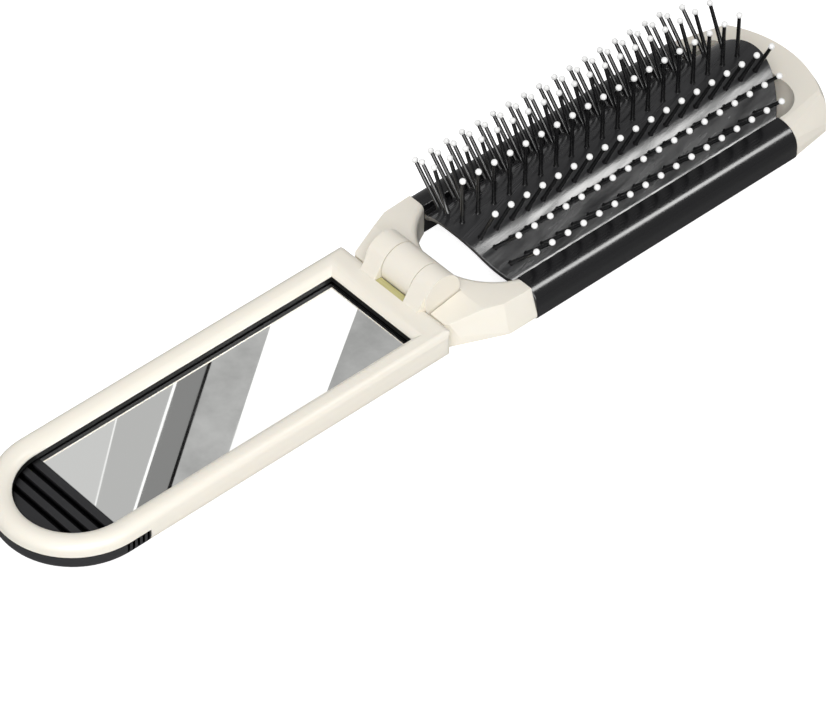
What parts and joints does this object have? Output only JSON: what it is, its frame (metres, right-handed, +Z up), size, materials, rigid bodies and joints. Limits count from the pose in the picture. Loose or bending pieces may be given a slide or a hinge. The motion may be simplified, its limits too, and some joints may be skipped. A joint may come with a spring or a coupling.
{
  "type": "folding hairbrush with mirror",
  "caption": "Pocket hairbrush: open frame with an arched pad of ball-tipped pins, hinged to a flat handle that holds a sliding mirror tray and folds over the pins.",
  "frame": {"origin": "middle of the bounding box, on the plane that the brush lies on, bristles up", "axes": "+X from the mirror handle towards the brush end, +Y across the brush, +Z up out of the bristles; the fold hinge lies along Y"},
  "size_m": [0.207, 0.04, 0.0255],
  "materials": {
    "cream_plastic": "semi-gloss moulded cream plastic",
    "black_plastic": "glossy black moulded plastic",
    "black_pad": "flexible black plastic, satin",
    "white_tips": "glossy white dipped balls",
    "steel": "plain steel pin",
    "bronze": "dull bronze strip",
    "mirror_glass": "silvered glass with a small bevel"
  },
  "bodies": {
    "head": {"hub": "cream_plastic", "end_cap": "cream_plastic", "rail_left": "black_plastic", "rail_right": "black_plastic", "pad_row_1": "black_pad", "pad_row_2": "black_pad", "pad_row_3": "black_pad", "pad_row_4": "black_pad", "pad_row_5": "black_pad", "pad_row_6": "black_pad", "pad_row_7": "black_pad", "row_tips_1": "white_tips", "row_tips_2": "white_tips", "row_tips_3": "white_tips", "row_tips_4": "white_tips", "row_tips_5": "white_tips", "row_tips_6": "white_tips", "row_tips_7": "white_tips"},
    "handle": {"handle_shell": "cream_plastic", "handle_back": "cream_plastic", "window_liner": "black_plastic", "hinge_pin": "steel", "detent_leaf": "bronze"},
    "tray": {"mirror_tray": "black_plastic", "mirror_glass": "mirror_glass"}
  },
  "joints": [
    {"name": "fold", "type": "hinge", "parent": "head", "child": "handle", "pos_m": [-0.00115, 0, 0.0087], "axis": [0, 1, 0], "range_deg": [0, 180], "deforming": ["pad_row_1", "pad_row_2", "pad_row_3", "pad_row_4", "pad_row_5", "pad_row_6", "pad_row_7", "row_tips_1", "row_tips_2", "row_tips_3", "row_tips_4", "row_tips_5", "row_tips_6", "row_tips_7"]},
    {"name": "tray_slide", "type": "slide", "parent": "handle", "child": "tray", "axis": [-1, 0, 0], "range_m": [0, 0.055]}
  ]
}
